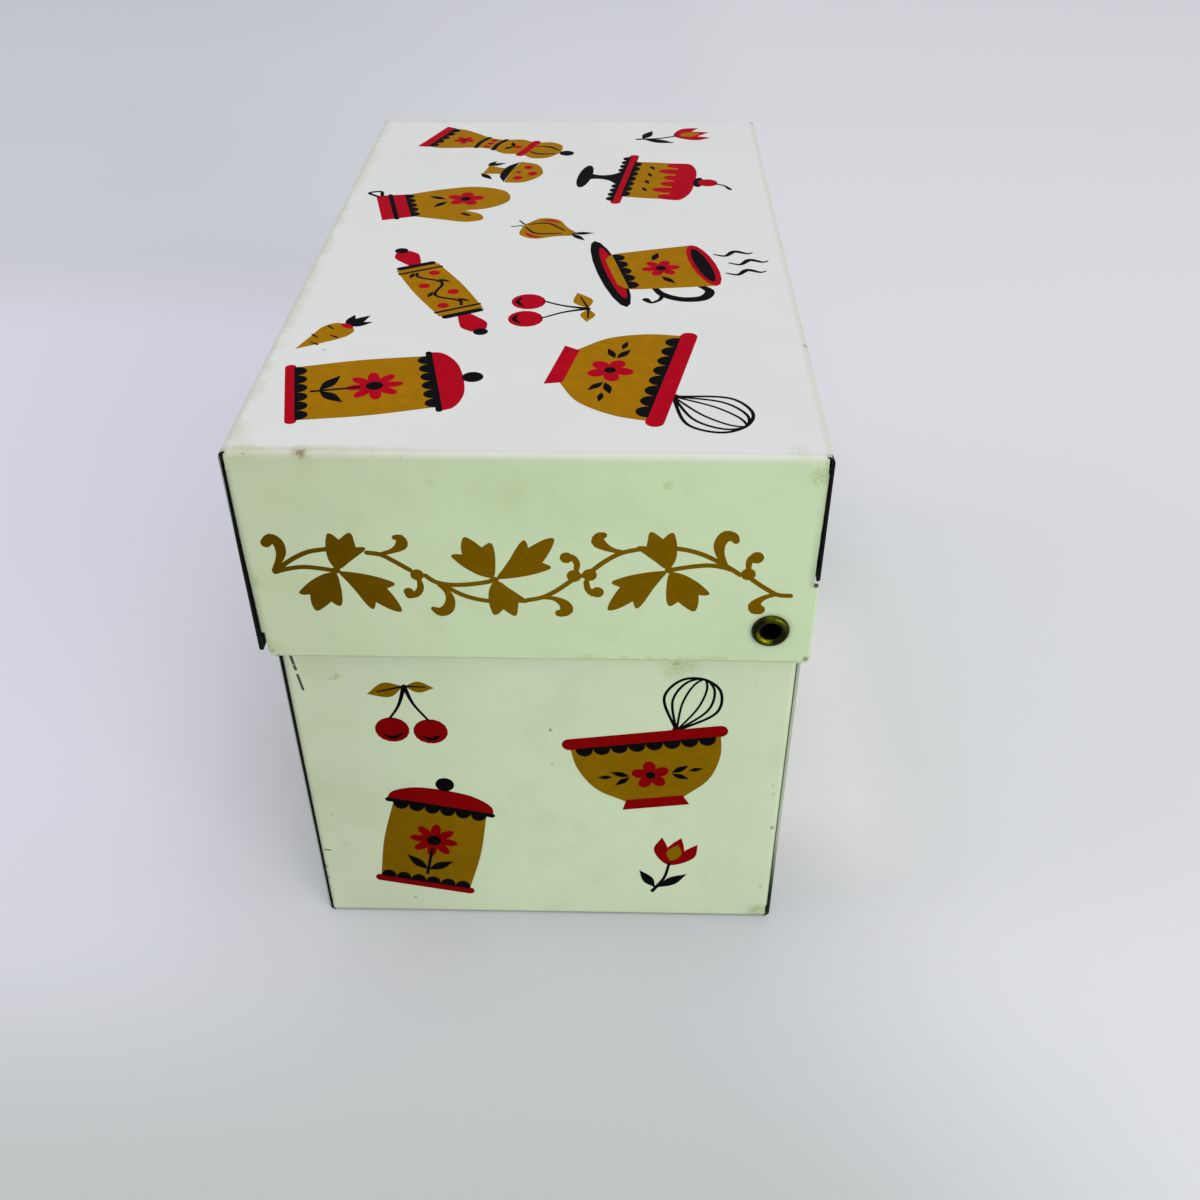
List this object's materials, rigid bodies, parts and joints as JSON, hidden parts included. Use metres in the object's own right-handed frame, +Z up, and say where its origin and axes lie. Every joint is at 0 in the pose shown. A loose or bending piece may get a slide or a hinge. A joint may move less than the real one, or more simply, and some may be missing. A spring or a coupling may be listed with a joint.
{
  "type": "recipe card box",
  "caption": "Folded sheet-metal box for index cards, with a deep hinged lid on hollow side eyelets, hemmed edges and open corner seams.",
  "frame": {"origin": "middle of the closed box's footprint, at the level that it stands on", "axes": "+X across the front to the right, +Y from the front to the hinge side, +Z up"},
  "size_m": [0.1376, 0.0782, 0.0915],
  "materials": {
    "body_paint": "pale mint green litho enamel on tinplate, satin gloss, worn at the folds",
    "lid_paint": "near-white top and pale mint sides, litho enamel on tinplate, satin gloss",
    "eyelet_brass": "aged, dark in the recesses",
    "washer_steel": "dull zinc plating"
  },
  "bodies": {
    "box": {"body_tray": "body_paint", "left_hinge_eyelet": "eyelet_brass", "right_hinge_eyelet": "eyelet_brass", "left_hinge_washer": "washer_steel", "right_hinge_washer": "washer_steel"},
    "lid": {"lid": "lid_paint"}
  },
  "joints": [
    {"name": "lid_hinge", "type": "hinge", "parent": "box", "child": "lid", "pos_m": [0, 0.03305, 0.0637], "axis": [-1, 0, 0], "range_deg": [0, 113]}
  ]
}
